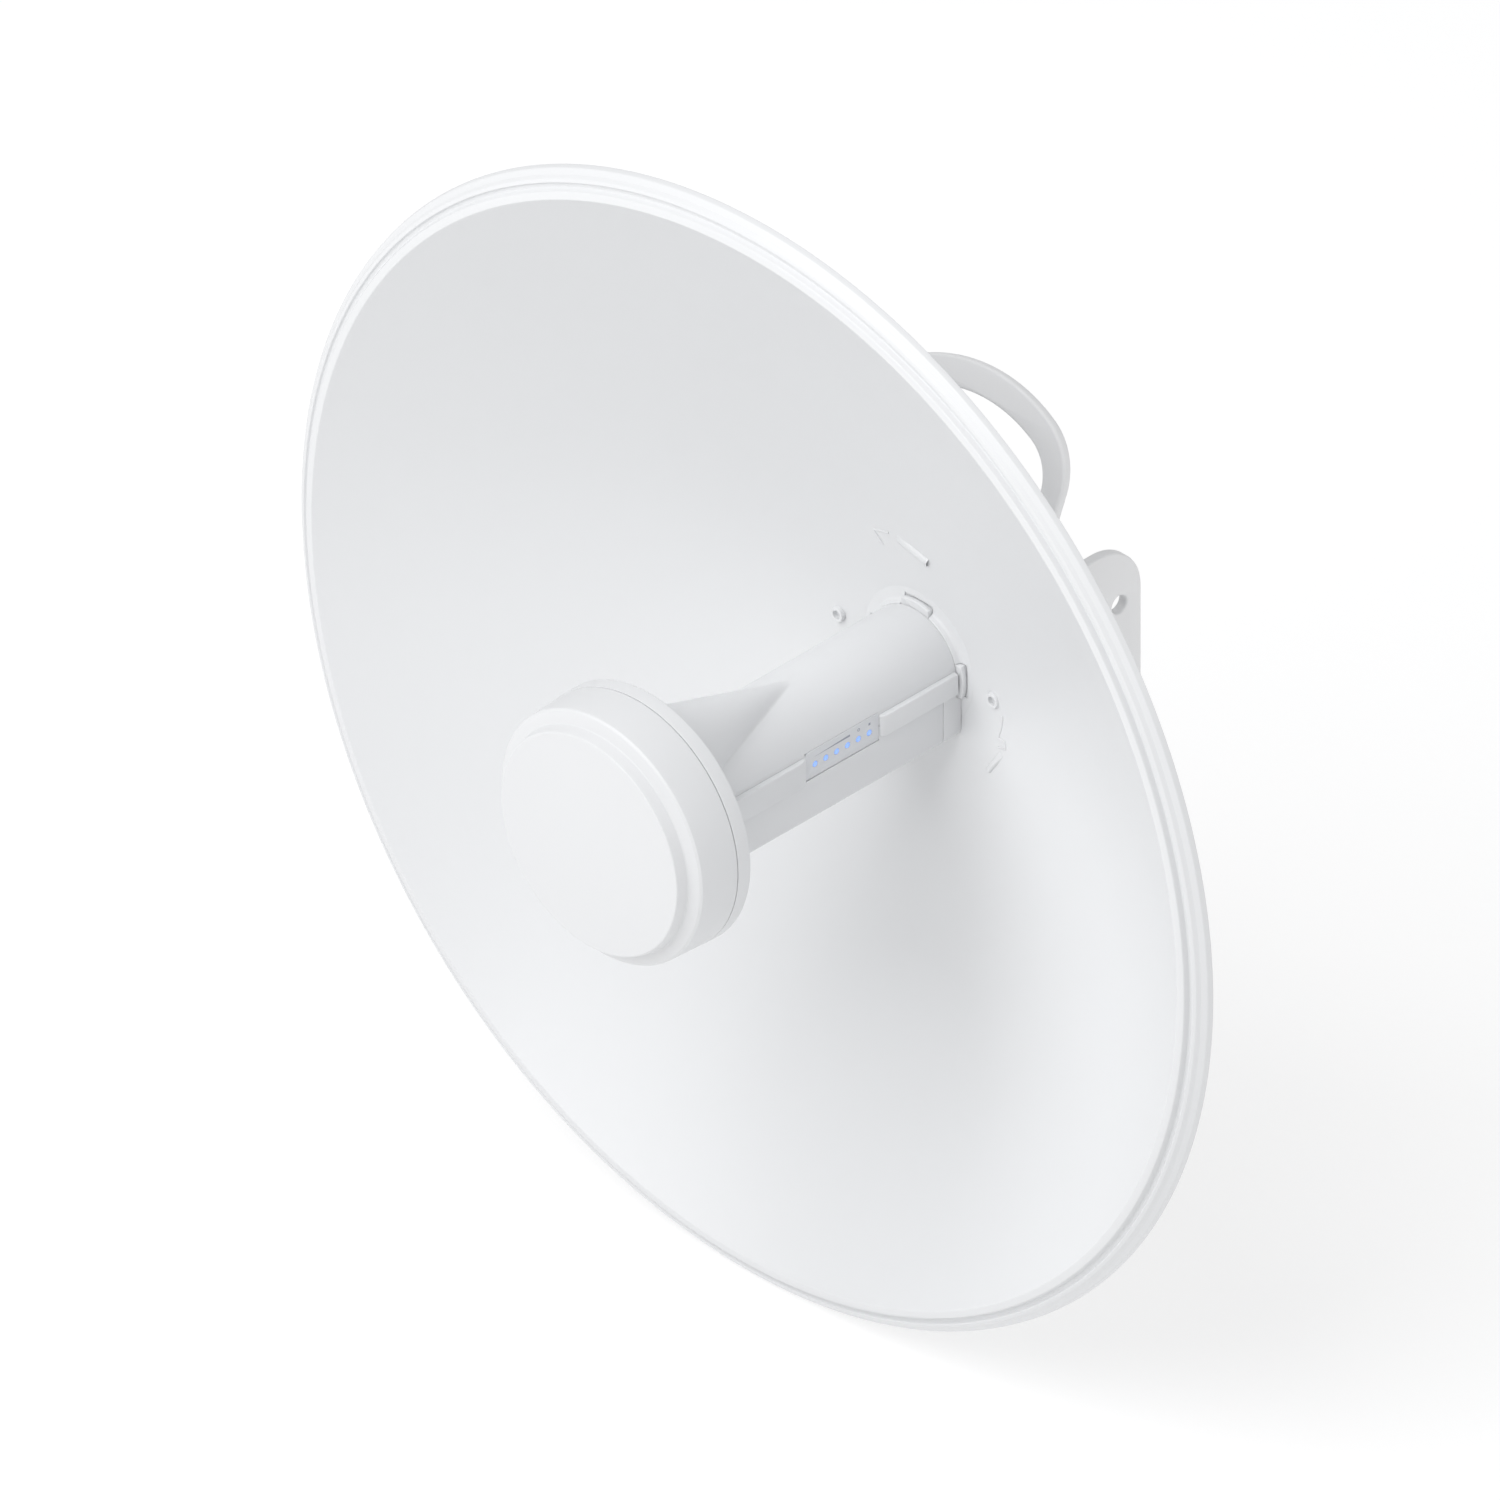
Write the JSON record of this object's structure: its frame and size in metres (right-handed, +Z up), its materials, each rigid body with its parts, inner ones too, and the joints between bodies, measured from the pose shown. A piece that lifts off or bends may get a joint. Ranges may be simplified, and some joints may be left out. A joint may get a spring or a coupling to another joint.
{
  "type": "outdoor wireless bridge",
  "caption": "Round parabolic dish antenna with a snap-in feed on its axis, a rear carry handle and a tilting pole bracket.",
  "frame": {"origin": "middle of the pole bracket's flat rear face, which lies against the pole", "axes": "+Y out of that face, away from the dish; the dish looks along -Y; +Z up along the pole; +X to the right as the dish's front is seen"},
  "size_m": [0.42, 0.2325, 0.42],
  "materials": {
    "white_paint": "smooth satin powder coat",
    "white_plastic": "fine matt moulded texture",
    "zinc_steel": "bright zinc plate",
    "bare_aluminium": "bare, satin",
    "black_rubber": "matt",
    "black_plastic": "satin",
    "circuit_board": "green solder mask",
    "blue_lens": "clear tinted, polished"
  },
  "bodies": {
    "mount": {"pole_bracket": "white_plastic", "pivot_bolt": "zinc_steel", "pivot_nut": "zinc_steel", "pivot_washer_left": "zinc_steel", "pivot_washer_right": "zinc_steel"},
    "head": {"dish_reflector": "white_paint", "dish_eyelet_left": "white_paint", "dish_eyelet_right": "white_paint", "hub_collar": "white_plastic", "dish_bracket": "white_plastic", "carry_handle": "white_plastic", "handle_screw_left": "zinc_steel", "handle_screw_right": "zinc_steel", "rear_housing": "white_plastic", "housing_screw_1": "zinc_steel", "housing_screw_2": "zinc_steel", "housing_screw_3": "zinc_steel", "cable_grommet": "black_rubber", "hub_screw_1": "zinc_steel", "hub_screw_2": "zinc_steel", "hub_screw_3": "zinc_steel", "hub_screw_4": "zinc_steel", "ground_screw": "zinc_steel"},
    "feed": {"feed_tube_upper": "white_plastic", "feed_tube_lower": "white_plastic", "led_rail_front": "white_plastic", "led_rail_rear": "white_plastic", "plain_rail": "white_plastic", "led_window": "white_plastic", "led_lens_1": "blue_lens", "led_lens_2": "blue_lens", "led_lens_3": "blue_lens", "led_lens_4": "blue_lens", "led_lens_5": "blue_lens", "led_lens_6": "blue_lens", "feed_cap_front": "white_plastic", "feed_cap_rear": "white_plastic", "cap_seal": "black_rubber", "subreflector": "bare_aluminium", "feed_horn": "bare_aluminium", "main_pcb": "circuit_board", "rf_shield": "bare_aluminium", "feed_coupler": "white_plastic", "ethernet_jack": "black_plastic"},
    "latch_top": {"feed_latch_top": "white_plastic"},
    "latch_right": {"feed_latch_right": "white_plastic"},
    "latch_bottom": {"feed_latch_bottom": "white_plastic"},
    "latch_left": {"feed_latch_left": "white_plastic"},
    "reset": {"reset_button": "black_plastic"},
    "cover": {"port_cover": "white_plastic"}
  },
  "joints": [
    {"name": "elevation_tilt", "type": "hinge", "parent": "mount", "child": "head", "pos_m": [0, -0.035, 0.035], "axis": [1, 0, 0], "range_deg": [-20, 20]},
    {"name": "feed_withdraw", "type": "slide", "parent": "head", "child": "feed", "axis": [0, -1, 0], "range_m": [0, 0.022]},
    {"name": "port_cover_slide", "type": "slide", "parent": "head", "child": "cover", "axis": [0, 0, -1], "range_m": [0, 0.028]},
    {"name": "reset_press", "type": "slide", "parent": "feed", "child": "reset", "axis": [0, -1, 0], "range_m": [0, 0.0007], "stiffness_N_per_m": 400},
    {"name": "latch_top_press", "type": "slide", "parent": "feed", "child": "latch_top", "axis": [0, 0, -1], "range_m": [0, 0.0011], "stiffness_N_per_m": 800},
    {"name": "latch_right_press", "type": "slide", "parent": "feed", "child": "latch_right", "axis": [-1, 0, 0], "range_m": [0, 0.0011], "stiffness_N_per_m": 800},
    {"name": "latch_bottom_press", "type": "slide", "parent": "feed", "child": "latch_bottom", "axis": [0, 0, 1], "range_m": [0, 0.0011], "stiffness_N_per_m": 800},
    {"name": "latch_left_press", "type": "slide", "parent": "feed", "child": "latch_left", "axis": [1, 0, 0], "range_m": [0, 0.0011], "stiffness_N_per_m": 800}
  ]
}
